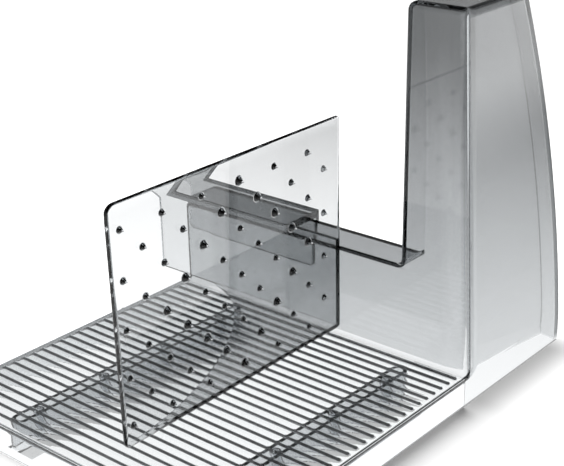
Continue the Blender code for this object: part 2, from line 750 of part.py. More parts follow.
def build():
    clear_scene()
    carriage = add_empty("carriage_frame", None, carriage_place())
    pusher = add_empty("pusher_slide_frame", carriage, (-PLATE_TO_BLADE, 0.0, 0.0))
    build_table(carriage, make_material("table_plastic", CLEAR, POLISHED))
    for name in RAIL_SETBACKS:
        build_rail(name, carriage, make_material(name + "_plastic", SMOKE, SMOOTH))
    build_guard(carriage, make_material("guard_plastic", CLEAR, POLISHED))
    build_plate(pusher, make_material("plate_plastic", CLEAR, POLISHED))
    build_saddle(pusher, make_material("saddle_plastic", CLEAR, POLISHED))
    bpy.context.view_layer.update()
    place = ", ".join(f"{value / MM:.3f}" for value in carriage.location)
    print("carriage frame at", place, "mm")


build()
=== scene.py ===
import bmesh
import bpy
import numpy as np
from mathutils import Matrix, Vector


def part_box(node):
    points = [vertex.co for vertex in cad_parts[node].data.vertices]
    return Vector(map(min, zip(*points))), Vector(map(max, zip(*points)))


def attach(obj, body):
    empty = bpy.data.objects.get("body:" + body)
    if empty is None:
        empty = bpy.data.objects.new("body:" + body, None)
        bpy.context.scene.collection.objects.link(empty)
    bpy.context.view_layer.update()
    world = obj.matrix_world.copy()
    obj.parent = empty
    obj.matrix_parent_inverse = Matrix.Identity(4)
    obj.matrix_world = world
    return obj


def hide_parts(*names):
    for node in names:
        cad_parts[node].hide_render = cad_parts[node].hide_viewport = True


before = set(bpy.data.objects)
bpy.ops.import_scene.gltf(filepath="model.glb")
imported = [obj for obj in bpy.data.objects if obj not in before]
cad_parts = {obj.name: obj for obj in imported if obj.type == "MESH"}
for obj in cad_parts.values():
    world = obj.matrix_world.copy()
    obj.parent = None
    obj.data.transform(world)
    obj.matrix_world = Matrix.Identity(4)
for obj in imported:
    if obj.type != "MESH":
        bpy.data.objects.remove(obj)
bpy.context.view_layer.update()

mm = 0.001
tableLow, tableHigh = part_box("ribbed_table")
tableFront, tableSkirt = 0.1418, 0.0128    # metres from the zero point to the front and to the foot
carriageZero = np.array([tableHigh[0], tableLow[1] + tableFront, tableLow[2] + tableSkirt])
quarter = 0.5 * np.pi


# Mesh tools

meshing = {
    "mergeDistance": 0.002,    # millimetres within which two points become one
    "sharpAngle": 38.0,        # degrees from which an edge is shaded as sharp
    "faceWeight": 80,          # how strongly a large flat face keeps its own normal
    "leastLength": 1e-9,       # stands in for a length of zero where one is a divisor
}


def gridFaces(rows, columns, closed=False, first=0):
    # four-sided faces of a grid stored row by row; closed joins the last column to the first
    index = np.arange(rows * columns).reshape(rows, columns) + first
    if closed:
        index = np.column_stack([index, index[:, :1]])
    return np.stack([index[:-1, :-1], index[:-1, 1:], index[1:, 1:], index[1:, :-1]], -1).reshape(-1, 4)


def stripFaces(one, other):
    # joins two rows of points with equal counts
    return np.stack([one[:-1], one[1:], other[1:], other[:-1]], -1)


def makeMesh(name, points, faces, caps=()):
    # points in carriage millimetres. Each cap is a ring of points that one flat face closes; doubles
    # are merged and the faces turned outwards
    mesh = bpy.data.meshes.new(name)
    places = points.reshape(-1, 3) * mm + carriageZero
    mesh.from_pydata(places.tolist(), [], faces.tolist() + [list(cap) for cap in caps])
    bm = bmesh.new()
    bm.from_mesh(mesh)
    bmesh.ops.remove_doubles(bm, verts=bm.verts[:], dist=meshing["mergeDistance"] * mm)
    bmesh.ops.recalc_face_normals(bm, faces=bm.faces[:])
    if bm.calc_volume(signed=True) < 0:
        bmesh.ops.reverse_faces(bm, faces=bm.faces[:])
    bm.to_mesh(mesh)
    bm.free()
    piece = bpy.data.objects.new(name, mesh)
    bpy.context.collection.objects.link(piece)
    return piece


def combine(piece, other, operation):
    # joins another closed mesh to the piece, or cuts it out, and removes it
    step = piece.modifiers.new(operation.title(), "BOOLEAN")
    step.operation, step.solver, step.object = operation, "EXACT", other
    made = piece.evaluated_get(bpy.context.evaluated_depsgraph_get())
    mesh = bpy.data.meshes.new_from_object(made)
    piece.modifiers.clear()
    piece.data = mesh
    bpy.data.objects.remove(other)


def fillPinholes(mesh):
    # a cut can leave out a sliver triangle; each such hole gets its face back
    bm = bmesh.new()
    bm.from_mesh(mesh)
    bmesh.ops.holes_fill(bm, edges=[edge for edge in bm.edges if edge.is_boundary])
    bm.to_mesh(mesh)
    bm.free()


def finishPiece(piece, material, body, slot, *nodes):
    # material and shading, then the body it rides on and the nodes it stands for
    mesh = piece.data
    mesh.name = piece.name
    fillPinholes(mesh)
    mesh.materials.clear()
    mesh.materials.append(material)
    mesh.shade_smooth()
    mesh.set_sharp_from_angle(angle=np.radians(meshing["sharpAngle"]))
    weights = piece.modifiers.new("flat faces stay flat", "WEIGHTED_NORMAL")
    weights.mode, weights.weight, weights.keep_sharp = "FACE_AREA", meshing["faceWeight"], True
    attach(piece, body)
    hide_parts(*nodes)
    bm = bmesh.new()
    bm.from_mesh(mesh)
    openEdges = sum(not edge.is_manifold for edge in bm.edges)
    bm.free()
    print(f"{piece.name}: {len(mesh.polygons)} faces, {openEdges} open edges")


def arc(steps):
    # the angles of a quarter turn
    return np.linspace(0.0, quarter, steps + 1)


def edgeDrop(radius, distance):
    # how far a rounded edge lies inside the full shape at this distance from its end
    inside = np.clip(radius - np.asarray(distance, float), 0.0, radius)
    return radius - np.sqrt(radius ** 2 - inside ** 2)


def roundedRings(corners):
    # outlines with rounded corners, one outline per level. A corner is (x, y, before, after, steps)
    # and its arc is corner + back * before * (1 - sin t) + onward * after * (1 - cos t)
    levels = max(np.size(value) for corner in corners for value in corner[:4])
    fill = [[np.broadcast_to(value, levels) for value in corner[:4]] for corner in corners]
    x, y, before, after = np.array(fill, float).transpose(1, 2, 0)
    backX, backY = np.roll(x, 1, 1) - x, np.roll(y, 1, 1) - y
    nextX, nextY = np.roll(x, -1, 1) - x, np.roll(y, -1, 1) - y
    least = meshing["leastLength"]
    backShare = before / np.maximum(np.maximum(np.hypot(backX, backY), before), least)
    nextShare = after / np.maximum(np.maximum(np.hypot(nextX, nextY), after), least)
    outlineX, outlineY = [], []
    for place, corner in enumerate(corners):
        turn = arc(corner[4]) if corner[4] else np.array([0.0])
        back = backShare[:, place, None] * (1 - np.sin(turn))
        onward = nextShare[:, place, None] * (1 - np.cos(turn))
        outlineX.append(x[:, place, None] + backX[:, place, None] * back + nextX[:, place, None] * onward)
        outlineY.append(y[:, place, None] + backY[:, place, None] * back + nextY[:, place, None] * onward)
    return np.hstack(outlineX), np.hstack(outlineY)


# Materials

class Signal:
    # a socket in a sum: an operator adds the Math node that works it out
    def __init__(self, wiring, socket):
        self.wiring, self.socket = wiring, socket

    def maths(self, operation, one, other):
        return self.wiring.add("Math", {"operation": operation}, {0: one, 1: other})

    def __add__(self, other):
        return self.maths("ADD", self, other)

    def __radd__(self, other):
        return self.maths("ADD", other, self)

    def __sub__(self, other):
        return self.maths("SUBTRACT", self, other)

    def __rsub__(self, other):
        return self.maths("SUBTRACT", other, self)

    def __mul__(self, other):
        return self.maths("MULTIPLY", self, other)

    def __rmul__(self, other):
        return self.maths("MULTIPLY", other, self)

    def __pow__(self, other):
        return self.maths("POWER", self, other)


class Wiring:
    # adds nodes to one material's or world's tree
    def __init__(self, owner):
        owner.use_nodes = True
        self.tree = owner.node_tree
        self.tree.nodes.clear()

    def add(self, kind, settings=None, values=None, out=0):
        # one node of any kind: its settings first, then the values or links of its sockets
        node = self.tree.nodes.new("ShaderNode" + kind)
        for key, value in (settings or {}).items():
            if key == "stops":
                for stop in value[2:]:
                    node.color_ramp.elements.new(stop[0])
                for element, (position, colour) in zip(node.color_ramp.elements, value):
                    element.position, element.color = position, colour
            else:
                setattr(node, key, value)
        for key, value in (values or {}).items():
            if isinstance(value, Signal):
                self.tree.links.new(value.socket, node.inputs[key])
            else:
                node.inputs[key].default_value = value
        return Signal(self, node.outputs[out] if node.outputs else None)


def grey(value, alpha=1.0):
    return (value, value, value, alpha)


clearPlastic = {
    "ior": 1.49,
    "waveSize": 0.028,        # metres from wave to wave of the moulded surface
    "waveHeight": 0.00001,    # metres
    "cloudiness": 0.06,       # share by which the tint drifts over a piece
    "cloudScale": 22.0, "cloudDetail": 2.0,
    "streakTurn": (0.3, 0.5, 0.9), "streakScale": (60, 900, 260), "streakDetail": 3.0,
    "streakFrom": 0.62, "streakGain": 6.0,    # only the strongest streaks show
    "smearScale": 45.0, "smearDetail": 4.0,   # patches in which they show
    "scratchRoughness": 0.05,
    "depthColour": (0.0, 0.035, 0.055, 1.0),
}

# each plastic: its roughness, its absorption per metre and its surface tint with painted shade, as (height
# in metres, colour)
plastics = {
    "table_plastic": {
        "roughness": 0.01, "density": 80.0,
        "tintAndPaintedShade": [(0.0, (0.96, 0.972, 0.98)), (0.02, (0.96, 0.972, 0.98))]},
    "rail_plastic": {
        "roughness": 0.02, "density": 150.0,
        "tintAndPaintedShade": [(0.0, (0.95, 0.96, 0.97)), (0.02, (0.95, 0.96, 0.97))]},
    "guard_plastic": {
        "roughness": 0.015, "density": 150.0,
        # painted shade: the guard's colour grows darker towards the top
        "tintAndPaintedShade": [(0.0, (0.985, 0.99, 0.993)), (0.014, (0.975, 0.981, 0.985)),
                 (0.03, (0.948, 0.955, 0.96)), (0.045, (0.923, 0.93, 0.936)),
                 (0.060, (0.902, 0.909, 0.915)), (0.155, (0.808, 0.814, 0.82))]},
    "pusher_plastic": {
        "roughness": 0.01, "density": 70.0,
        # painted shade: the pusher's colour is darker towards the bottom
        "tintAndPaintedShade": [(0.0, (0.90, 0.908, 0.913)), (0.045, (0.90, 0.908, 0.913)),
                 (0.07, (0.96, 0.968, 0.973)), (0.11, (0.975, 0.983, 0.988))]},
}


def makeClear(name):
    # clear plastic with faint moulding waves, a cloudy tint, painted shade that changes with height and a
    # few worn streaks
    c, plastic = clearPlastic, plastics[name]
    material = bpy.data.materials.new(name)
    w = Wiring(material)
    place = w.add("TexCoord", out=3)    # object coordinates
    height = w.add("SeparateXYZ", {}, {0: place}, out=2)
    top = plastic["tintAndPaintedShade"][-1][0]
    stops = [(z / top, colour + (1.0,)) for z, colour in plastic["tintAndPaintedShade"]]
    # the tint with painted shade, looked up by height
    ramp = w.add("ValToRGB", {"stops": stops}, {0: height * (1.0 / top)})
    cloud = w.add("TexNoise", {}, {"Vector": place, "Scale": c["cloudScale"], "Detail": c["cloudDetail"]})
    shade = 1.0 - cloud * c["cloudiness"]
    colour = w.add("VectorMath", {"operation": "SCALE"}, {0: ramp, 3: shade})
    streakPlace = w.add("Mapping", {}, {
        "Vector": place, "Rotation": c["streakTurn"], "Scale": c["streakScale"]})
    streaks = w.add("TexNoise", {}, {"Vector": streakPlace, "Scale": 1.0, "Detail": c["streakDetail"]})
    smears = w.add("TexNoise", {}, {"Vector": place, "Scale": c["smearScale"], "Detail": c["smearDetail"]})
    wear = w.add("Clamp", {}, {0: (streaks - c["streakFrom"]) * c["streakGain"] * smears})
    moulding = w.add("TexNoise", {}, {"Vector": place, "Scale": 1.0 / c["waveSize"], "Detail": 0.0})
    bump = w.add("Bump", {}, {"Strength": 1.0, "Distance": c["waveHeight"], "Height": moulding})
    shader = w.add("BsdfPrincipled", {}, {
        "Base Color": colour, "Roughness": wear * c["scratchRoughness"] + plastic["roughness"],
        "Normal": bump, "IOR": c["ior"], "Transmission Weight": 1.0})
    depth = w.add("VolumeAbsorption", {}, {"Color": c["depthColour"], "Density": plastic["density"]})
    w.add("OutputMaterial", {}, {"Surface": shader, "Volume": depth})
    return material


tablePlastic = makeClear("table_plastic")
railPlastic = makeClear("rail_plastic")
guardPlastic = makeClear("guard_plastic")
pusherPlastic = makeClear("pusher_plastic")
print("materials made")


# Table with ribs

table = {
    "width": 156.3, "front": tableFront / mm, "rear": 4.4, "skirt": tableSkirt / mm, "wall": 2.0,
    "edge": 0.35, "corner": 3.0, "innerEdge": 0.8, "rim": 0.35,
    "ribPitch": 5.0, "ribFirst": 6.6, "ribCount": 27, "ribRadius": 0.8, "ribHeight": 0.85,
    "ribLeft": 2.9, "ribRight": 2.65, "ribFillet": 0.10, "trough": 0.15,
    "ribFall": 3.0,    # how steeply a rib's bar sinks beyond its own radius
    "pegDiameter": 2.0, "pegLength": 8.0, "pegRoot": 0.5, "pegTip": 0.2,
}

# where the table's mesh has its columns, its rows and the bands round its edges, in millimetres,
# counts and shares
tableGrid = {
    "endColumn": 1.0, "middleInset": 12.0, "middleColumns": 7,
    "ballShare": 0.15, "ballColumns": 4, "lastColumn": 0.2,
    "acrossShares": [-3.12, -2.6, -2.1, -1.6, -1.25, -1.08, -0.99, -0.93, -0.82, -0.66, -0.45, -0.22, 0.0],
    "firstBand": 0.2, "topBands": 10, "edgeSteps": 8, "rimSteps": 3, "belowEdge": 0.5,
    "underBand": 0.1, "underFlat": 0.05, "belowInnerEdge": 0.4,
}


def ribRise(x, y):
    # height of the ribs over a point: a round bar on its axis line, with ball ends, faded into the
    # table by a smooth maximum, (e + sqrt(e * e + k * k)) / 2. Between two ribs the table is a hollow
    # trough that rises towards both of them by the square of the way from its middle
    radius = table["ribRadius"]
    axis = table["ribHeight"] - radius
    left = -table["width"] + table["ribLeft"] + radius
    right = -table["ribRight"] - radius
    row = np.clip(np.round((-y - table["ribFirst"]) / table["ribPitch"]), 0, table["ribCount"] - 1)
    across = -y - table["ribFirst"] - row * table["ribPitch"]
    along = np.maximum(np.maximum(left - x, x - right), 0.0)
    away = np.hypot(across, along)
    sunk = table["ribFall"] * np.maximum(away - radius, 0.0)
    bar = np.sqrt(np.maximum(radius ** 2 - away ** 2, 0.0)) + axis - sunk
    middle = 0.5 * table["ribPitch"]
    trough = table["trough"] * (np.maximum(middle - away, 0.0) / (middle - radius)) ** 2
    return 0.5 * (bar + np.sqrt(bar ** 2 + table["ribFillet"] ** 2)) + np.minimum(trough, table["trough"])


def tableSkin(insets, heights, x, y):
    # a flat middle with bands that go round its left, right and front sides. Band k lies at inset
    # insets[k] and height heights[k]; round a corner it follows an arc about the corner's centre
    bands = len(insets)
    corner = table["corner"]
    column = np.arange(len(x) + 2 * bands)
    outX = np.maximum(bands - column, 0) + np.maximum(column - (len(x) + bands - 1), 0)
    row = np.arange(len(y) + bands)
    outY = np.maximum(row - (len(y) - 1), 0)
    outX, outY = np.meshgrid(outX, outY)
    band = np.maximum(outX, outY)
    inset = np.concatenate([[corner], insets])[band]
    height = np.concatenate([[heights[0]], heights])[band]
    baseX = np.concatenate([np.full(bands, x[0]), x, np.full(bands, x[-1])])[None, :]
    baseY = np.concatenate([y, np.full(bands, y[-1])])[:, None]
    share = np.minimum(outX, outY) / np.maximum(band, 1)
    turn = 0.5 * quarter * np.where(outX >= outY, share, 2.0 - share)
    reach = corner - inset
    side = np.sign(column - 0.5 * (len(column) - 1))[None, :]
    pointX = baseX + np.where(outX > 0, side * reach * np.cos(turn), 0.0)
    pointY = baseY - np.where(outY > 0, reach * np.sin(turn), 0.0)
    return np.stack([pointX, pointY + 0.0 * pointX, height], -1)


def buildTable():
    grid, corner, wall, edge = tableGrid, table["corner"], table["wall"], table["edge"]
    radius = table["ribRadius"]
    left, right, front = -table["width"] + corner, -corner, -table["front"] + corner
    balls = -table["ribRight"] - radius + np.linspace(0.0, corner * grid["ballShare"], grid["ballColumns"])
    middle = np.linspace(left + grid["middleInset"], right - grid["middleInset"], grid["middleColumns"])
    lastColumns = [right - grid["lastColumn"], right]
    x = np.concatenate([[left, left + grid["endColumn"]], middle, balls, lastColumns])
    x = np.unique(np.clip(x, left, right))
    across = radius * np.array(grid["acrossShares"])
    across = np.concatenate([across, -across[-2::-1]])
    lines = -table["ribFirst"] - table["ribPitch"] * np.arange(table["ribCount"])
    y = np.concatenate([(lines[:, None] + across).ravel(), [-table["rear"], front]])
    y = np.unique(np.clip(y, front, -table["rear"]))[::-1]

    # the two skins' bands, from the flat top and underside round the edge and down to the foot
    rim, inner, skirt = table["rim"], table["innerEdge"], -table["skirt"]
    edgeTurn, rimTurn = arc(grid["edgeSteps"])[1:], arc(grid["rimSteps"])[1:]
    rimIn, rimUp = rim * (1 - np.cos(rimTurn)), skirt + rim * (1 - np.sin(rimTurn))
    fine = np.linspace(corner - grid["firstBand"], edge, grid["topBands"])
    outerInset = np.concatenate([fine, edge * (1 - np.sin(edgeTurn)), [0.0, 0.0], rimIn])
    outerHeight = np.concatenate([
        0 * fine, edge * (np.cos(edgeTurn) - 1), [-edge - grid["belowEdge"], skirt + rim], rimUp])
    underBands = [corner - grid["underBand"], wall + inner + grid["underFlat"]]
    innerTurn = np.linspace(0.0, quarter, len(outerInset) - len(underBands) - 2 - len(rimTurn))
    innerInset = np.concatenate([
        underBands, wall + inner * (1 - np.sin(innerTurn)), [wall, wall], wall - rimIn])
    innerHeight = np.concatenate([
        [-wall, -wall], -wall - inner * (1 - np.cos(innerTurn)),
        [-wall - inner - grid["belowInnerEdge"], skirt + rim], rimUp])
    outer = tableSkin(outerInset, outerHeight, x, y)
    top = outer[..., 2] > -edge
    outer[..., 2] = np.where(top, outer[..., 2] + ribRise(outer[..., 0], outer[..., 1]), outer[..., 2])
    under = tableSkin(innerInset, innerHeight, x, y)
    rows, columns = outer.shape[:2]
    index = np.arange(rows * columns).reshape(rows, columns)
    borders = [index[0], index[-1], index[:, 0], index[:, -1]]
    faces = np.concatenate([gridFaces(rows, columns), gridFaces(rows, columns, first=index.size)]
                           + [stripFaces(line, line + index.size) for line in borders])
    piece = makeMesh("tableMoulding", np.concatenate([outer.reshape(-1, 3), under.reshape(-1, 3)]), faces)
    combine(piece, buildPegs(), "UNION")
    finishPiece(piece, tablePlastic, "carriage", "table_plastic", "ribbed_table")


# Guide rails

rail = {
    "setbacks": {"rightGuideRail": 26.0, "leftGuideRail": 117.0},
    "nodes": {"rightGuideRail": "right_guide_rail", "leftGuideRail": "left_guide_rail"},
    "width": 7.2, "wall": 1.7, "rear": 9.5, "frontInset": 5.8, "gap": 0.1,
    "postCount": 4, "postInset": 12.6, "postDiameter": 4.2, "boreDiameter": 2.6, "edge": 0.06,
    "overrun": 2.0,    # how far a bore's cutter reaches beyond the rail
}


def postLines():
    # where the posts and the pegs in them stand along the rails, evenly spread
    first = -rail["rear"] - rail["postInset"]
    last = -table["front"] + rail["frontInset"] + rail["postInset"]
    return np.linspace(first, last, rail["postCount"])


def roundBars(centres, radii, heights, sides):
    # upright bars turned from one profile: every ring is radius * (cos a, sin a) at its height
    angle = np.linspace(0.0, 2 * np.pi, sides, endpoint=False)
    ring = np.stack([np.cos(angle), np.sin(angle)], -1)
    points, faces, caps, first = [], [], [], 0
    for centre in centres:
        flat = np.asarray(centre) + np.asarray(radii)[:, None, None] * ring
        level = np.broadcast_to(np.asarray(heights, float)[:, None, None], flat.shape[:2] + (1,))
        points.append(np.concatenate([flat, level], -1).reshape(-1, 3))
        index = first + np.arange(len(radii) * sides).reshape(-1, sides)
        faces.append(gridFaces(len(radii), sides, True, first))
        caps += [index[0], index[-1]]
        first += index.size
    return np.concatenate(points), np.concatenate(faces), caps


def buildPegs():
    centres = [(-setback, y) for setback in rail["setbacks"].values() for y in postLines()]
    radius = 0.5 * table["pegDiameter"]
    low, bevel = -table["wall"] - table["pegLength"], table["pegTip"]
    return makeMesh("pegs", *roundBars(centres, [radius - bevel, radius, radius],
                                       [low, low + bevel, -table["wall"] + table["pegRoot"]], 24))


def railLoop(centre, halfWidth, steps=20):
    # two half circles joined by straight sides
    rear = -rail["rear"] - 0.5 * rail["width"]
    front = -table["front"] + rail["frontInset"] + 0.5 * rail["width"]
    turn = np.linspace(0.0, np.pi, steps)
    x = np.concatenate([np.cos(turn), np.cos(turn + np.pi)]) * halfWidth + centre
    y = np.concatenate([rear + np.sin(turn) * halfWidth, front + np.sin(turn + np.pi) * halfWidth])
    return np.stack([x, y], -1)


def buildRail(name):
    # outer and inner loop, each with both edges rounded, then the posts and their bores
    centre = -rail["setbacks"][name]
    low, high, edge = -table["skirt"], -table["wall"] - rail["gap"], rail["edge"]
    half = 0.5 * rail["width"]
    turn = arc(3)
    offset = edge * (1 - np.cos(turn))
    level = np.concatenate([low + edge * (1 - np.sin(turn[::-1])), high - edge * (1 - np.sin(turn))])
    shrink = np.concatenate([offset[::-1], offset])
    outer = [railLoop(centre, half - s) for s in shrink]
    inner = [railLoop(centre, half - rail["wall"] + s) for s in shrink]
    rings = np.array(outer + inner[::-1])
    height = np.concatenate([level, level[::-1]])
    points = np.concatenate([rings, np.broadcast_to(height[:, None, None], rings.shape[:2] + (1,))], -1)
    count = points.shape[1]
    faces = gridFaces(len(points), count, True)
    index = np.arange(points.shape[0] * count).reshape(-1, count)
    rim = stripFaces(np.append(index[0], index[0, 0]), np.append(index[-1], index[-1, 0]))
    piece = makeMesh(name, points, np.concatenate([faces, rim]))
    centres = [(centre, y) for y in postLines()]
    radius = 0.5 * rail["postDiameter"]
    posts = makeMesh("posts", *roundBars(centres, [radius, radius], [low, high], 40))
    combine(piece, posts, "UNION")
    radius = 0.5 * rail["boreDiameter"]
    ends = [low - rail["overrun"], high + rail["overrun"]]
    bores = makeMesh("bores", *roundBars(centres, [radius, radius], ends, 32))
    combine(piece, bores, "DIFFERENCE")
    finishPiece(piece, railPlastic, "carriage", "rail_plastic", rail["nodes"][name])


# Guard: low wall, leg and fin as one hollow shell

guard = {
    "wall": 2.0, "foot": 4.3, "footFillet": 2.5, "footStep": 0.3,
    "armHeight": 38.4, "armThickness": 18.25, "armEnd": 3.0, "armEdge": 1.0, "endWall": 1.0,
    "ledgeFall": 0.01, "settle": 0.4, "junction": 2.5, "height": 146.0, "legWidth": 35.25,
    "legDraft": 0.0084, "legTop": 12.0, "legPower": 2, "legCorner": 1.8,
    "near": 0.3, "nearInner": (3.0, 4.0), "lean": 0.047,
    "finDepth": 71.05, "finDraft": 5.1, "finBow": 25.4, "bowPower": 2, "finWidth": 11.2,
    "rearSkew": 0.18, "finTaper": 0.145, "finCorner": 0.3, "finInner": 0.6, "throat": 6.0,
    "topEdge": 3.5, "leastCorner": 0.2,
    "overrun": 4.0,    # how far the cutter of the front opening reaches beyond the guard
}


def levelRows(*values):
    # one row per level; each value is one number for all of these levels or one for each
    return np.column_stack(np.broadcast_arrays(*values)).tolist()


def guardLevels(wall):
    # one row per level: height, left end, food side, inset, drop of the low wall's edges and the
    # near corner's share
    g = guard
    least = g["leastCorner"]
    endWall = min(wall, g["endWall"])
    armLeft, footFront = -table["width"] + endWall, -g["foot"] + wall
    fillet = g["footFillet"] + wall
    levels = levelRows(-table["skirt"], armLeft, footFront, wall, 0.0, 0.0)
    start = np.arcsin(max(footFront + g["footFillet"], 0.0) / fillet)
    if footFront < -g["footFillet"]:
        ledge = np.array([-g["ledgeFall"] - g["footStep"], -g["ledgeFall"]])
        levels += levelRows(ledge, armLeft, footFront, wall, 0.0, 0.0)
    turn = start + (quarter - start) * np.linspace(0.0, 1.0, 9)
    foodSide = -g["footFillet"] + fillet * np.sin(turn)
    share = (foodSide - footFront) / (wall - footFront)
    levels += levelRows(g["footFillet"] - fillet * np.cos(turn), armLeft, foodSide, wall, 0.0, share)

    # the low wall, straight and then rounded over its top
    armTop = g["armHeight"] - g["ledgeFall"] - wall
    endRadius, edgeRadius = max(g["armEnd"] - endWall, least), max(g["armEdge"] - wall, least)
    straight = np.linspace(g["footFillet"], armTop - endRadius, 9)[1:-1]
    levels += levelRows(straight, armLeft, wall, wall, 0.0, 1.0)
    below = endRadius * (1 - np.sin(arc(10)))
    left = armLeft + endRadius * (1 - np.cos(arc(10)))
    levels += levelRows(armTop - below, left, wall, wall, edgeDrop(edgeRadius, below), 1.0)

    # the fillet between the low wall's top and the leg
    junction, turn = g["junction"] + wall, arc(8)
    left = -g["legWidth"] - g["junction"] + junction * np.sin(turn)
    height = g["armHeight"] + g["junction"] - junction * np.cos(turn)
    levels += levelRows(height, left, wall, wall, edgeRadius * (1 - np.sin(turn)), 1.0)

    # the leg, drafted and then rounded over its top
    top, topRadius = g["height"] - wall, max(g["topEdge"] - wall, least)
    height = np.linspace(g["armHeight"] + g["junction"], top - topRadius, 25)[1:-1]
    left = -g["legWidth"] + g["legDraft"] * (height - g["armHeight"]) + wall
    levels += levelRows(height, left, wall, wall, 0.0, 1.0)
    height = top - topRadius * (1 - np.sin(arc(10)))
    inset = wall + topRadius * (1 - np.cos(arc(10)))
    left = -g["legWidth"] + g["legDraft"] * (height - g["armHeight"]) + inset
    levels += levelRows(height, left, inset, inset, 0.0, 1.0)
    return np.array(levels).T


def guardSkin(wall):
    # every level is one outline: food side, blade side, rear of the fin, inner side of the fin,
    # rear of the leg and left end, each moved inwards by the inset
    g = guard
    height, left, foodSide, inset, drop, share = guardLevels(wall)
    least = g["leastCorner"]
    above = np.maximum(height, 0.0)
    rise = height / g["height"]
    legRise = np.maximum(height - g["armHeight"], 0.0)
    rear = g["finDepth"] - g["finDraft"] * rise - g["finBow"] * np.maximum(rise, 0.0) ** g["bowPower"]
    bow = (legRise / (g["height"] - g["armHeight"])) ** g["legPower"]
    legRear = g["armThickness"] + (g["legTop"] - g["armThickness"]) * bow
    skewLength, taperLength = np.hypot(1.0, g["rearSkew"]), np.hypot(1.0, g["finTaper"])
    right = -g["lean"] * above - inset
    rearRight = rear + g["rearSkew"] * inset - inset * skewLength
    shiftX = inset * (taperLength - g["finTaper"] * skewLength) / (1 + g["finTaper"] * g["rearSkew"])
    rearLeftX = -g["lean"] * above - g["finWidth"] + shiftX
    rearLeftY = rear + g["rearSkew"] * g["finWidth"] - g["rearSkew"] * shiftX - inset * skewLength
    back = legRear - inset
    throatX = rearLeftX - g["finTaper"] * (rearLeftY - back)
    outside = wall == 0
    finRadius = np.maximum(g["finCorner"] - inset, least) if outside else g["finInner"]
    legRadius = np.maximum(g["legCorner"] - inset, least)
    nearFront, nearSide = [np.maximum(g["near"] * share - inset if outside else radius * share, least)
                           for radius in g["nearInner"]]
    runOut = np.maximum(-g["legWidth"] - g["junction"], left + legRadius)
    full = np.maximum(-g["legWidth"] + g["legDraft"] * legRise + inset, left + legRadius)
    lowFront, lowBack = foodSide + drop, back - drop
    apart = full > runOut
    x, y = roundedRings([
        (left, lowFront, legRadius, legRadius, 8),
        (runOut, lowFront, 0.0, 0.0, 0),
        (full, np.where(apart, foodSide, lowFront), 0.0, 0.0, 0),
        (full + g["settle"], foodSide, 0.0, 0.0, 0),
        (right, foodSide, nearFront, nearSide, 14),
        (right, rearRight, finRadius, finRadius, 10),
        (rearLeftX, rearLeftY, finRadius, finRadius, 10),
        (throatX, back, g["throat"] + inset, g["throat"] + inset, 10),
        (full + g["settle"], back, 0.0, 0.0, 0),
        (full, np.where(apart, back, lowBack), 0.0, 0.0, 0),
        (runOut, lowBack, 0.0, 0.0, 0),
        (left, lowBack, legRadius, legRadius, 8),
    ])
    return np.stack([x, y, np.broadcast_to(height[:, None], x.shape)], -1)


def boxMesh(name, low, high):
    # a plain box between two corners
    low, high = np.array(low, float), np.array(high, float)
    corner = np.array([[0, 0], [1, 0], [1, 1], [0, 1]], float)
    flat = low[:2] + corner * (high[:2] - low[:2])
    points = np.concatenate([np.column_stack([flat, np.full(4, z)]) for z in (low[2], high[2])])
    return makeMesh(name, points, gridFaces(2, 4, True), [[0, 1, 2, 3], [4, 5, 6, 7]])


def buildGuard():
    # outer and inner skin joined by a rim at the foot, open below and, under the table, at the front
    outer, inner = guardSkin(0.0), guardSkin(guard["wall"])
    count = outer.shape[1]
    outerIndex = np.arange(outer.shape[0] * count).reshape(-1, count)
    innerIndex = np.arange(inner.shape[0] * count).reshape(-1, count) + outerIndex.size
    rim = stripFaces(np.append(outerIndex[0], outerIndex[0, 0]), np.append(innerIndex[0], innerIndex[0, 0]))
    skins = [gridFaces(outer.shape[0], count, True), gridFaces(inner.shape[0], count, True, outerIndex.size)]
    points = np.concatenate([outer.reshape(-1, 3), inner.reshape(-1, 3)])
    piece = makeMesh("guardShell", points, np.concatenate(skins + [rim]), [outerIndex[-1], innerIndex[-1]])
    left, front = -table["width"] + guard["endWall"], -guard["foot"]
    wall, beyond = guard["wall"], guard["overrun"]
    low = (left, front - beyond, -table["skirt"] - beyond)
    opening = boxMesh("frontOpening", low, (-wall, front + beyond, -wall))
    combine(piece, opening, "DIFFERENCE")
    piece.visible_shadow = False    # its soft shade is painted on the floor, in buildFloor
    finishPiece(piece, guardPlastic, "carriage", "guard_plastic", "back_guard")


# Pusher: spiked plate and saddle

pusher = {
    "toBlade": 65.25, "thickness": 2.2, "front": 125.6, "lean": 0.015, "rear": 0.3, "lift": 1.6, "top": 96.1,
    "frontCorner": 4.0, "rearCorner": 2.0, "footCorner": 2.0, "edge": 1.0,
    "rimHeight": 5.0, "rimThinning": 0.2,
    "columns": 12, "rows": 9, "columnPitch": 10.0, "rowPitch": 9.48, "firstColumn": 11.8, "rowBase": 0.75,
    "spike": (2.6, 2.3), "bigSpike": (3.6, 2.8),    # diameter and length
    "spikeHeightShares": [-0.18, 0.0, 0.06, 0.18, 0.5, 0.9, 0.97, 1.0],
    "spikeRadiusShares": [1.3, 1.22, 1.08, 0.9, 0.52, 0.13, 0.09, 0.03],
    "ringAt": (5, 5), "ringSteps": 4,               # the big spikes stand in a ring about this one
    "reach": 106.25, "setback": 29.6, "panel": 2.0, "sheet": 3.6, "flange": 2.2, "flangeBottom": 16.2,
    "saddleEdge": 0.6, "saddleCorner": 2.0, "clearance": 0.3,
    "webLift": 1.15, "web": 2.0, "webReach": 70.0, "webFrontInset": 1.7, "webPower": 0.66,
    "webSpan": (0.03, 0.97),    # the part of the curve that the web's free edge follows
}


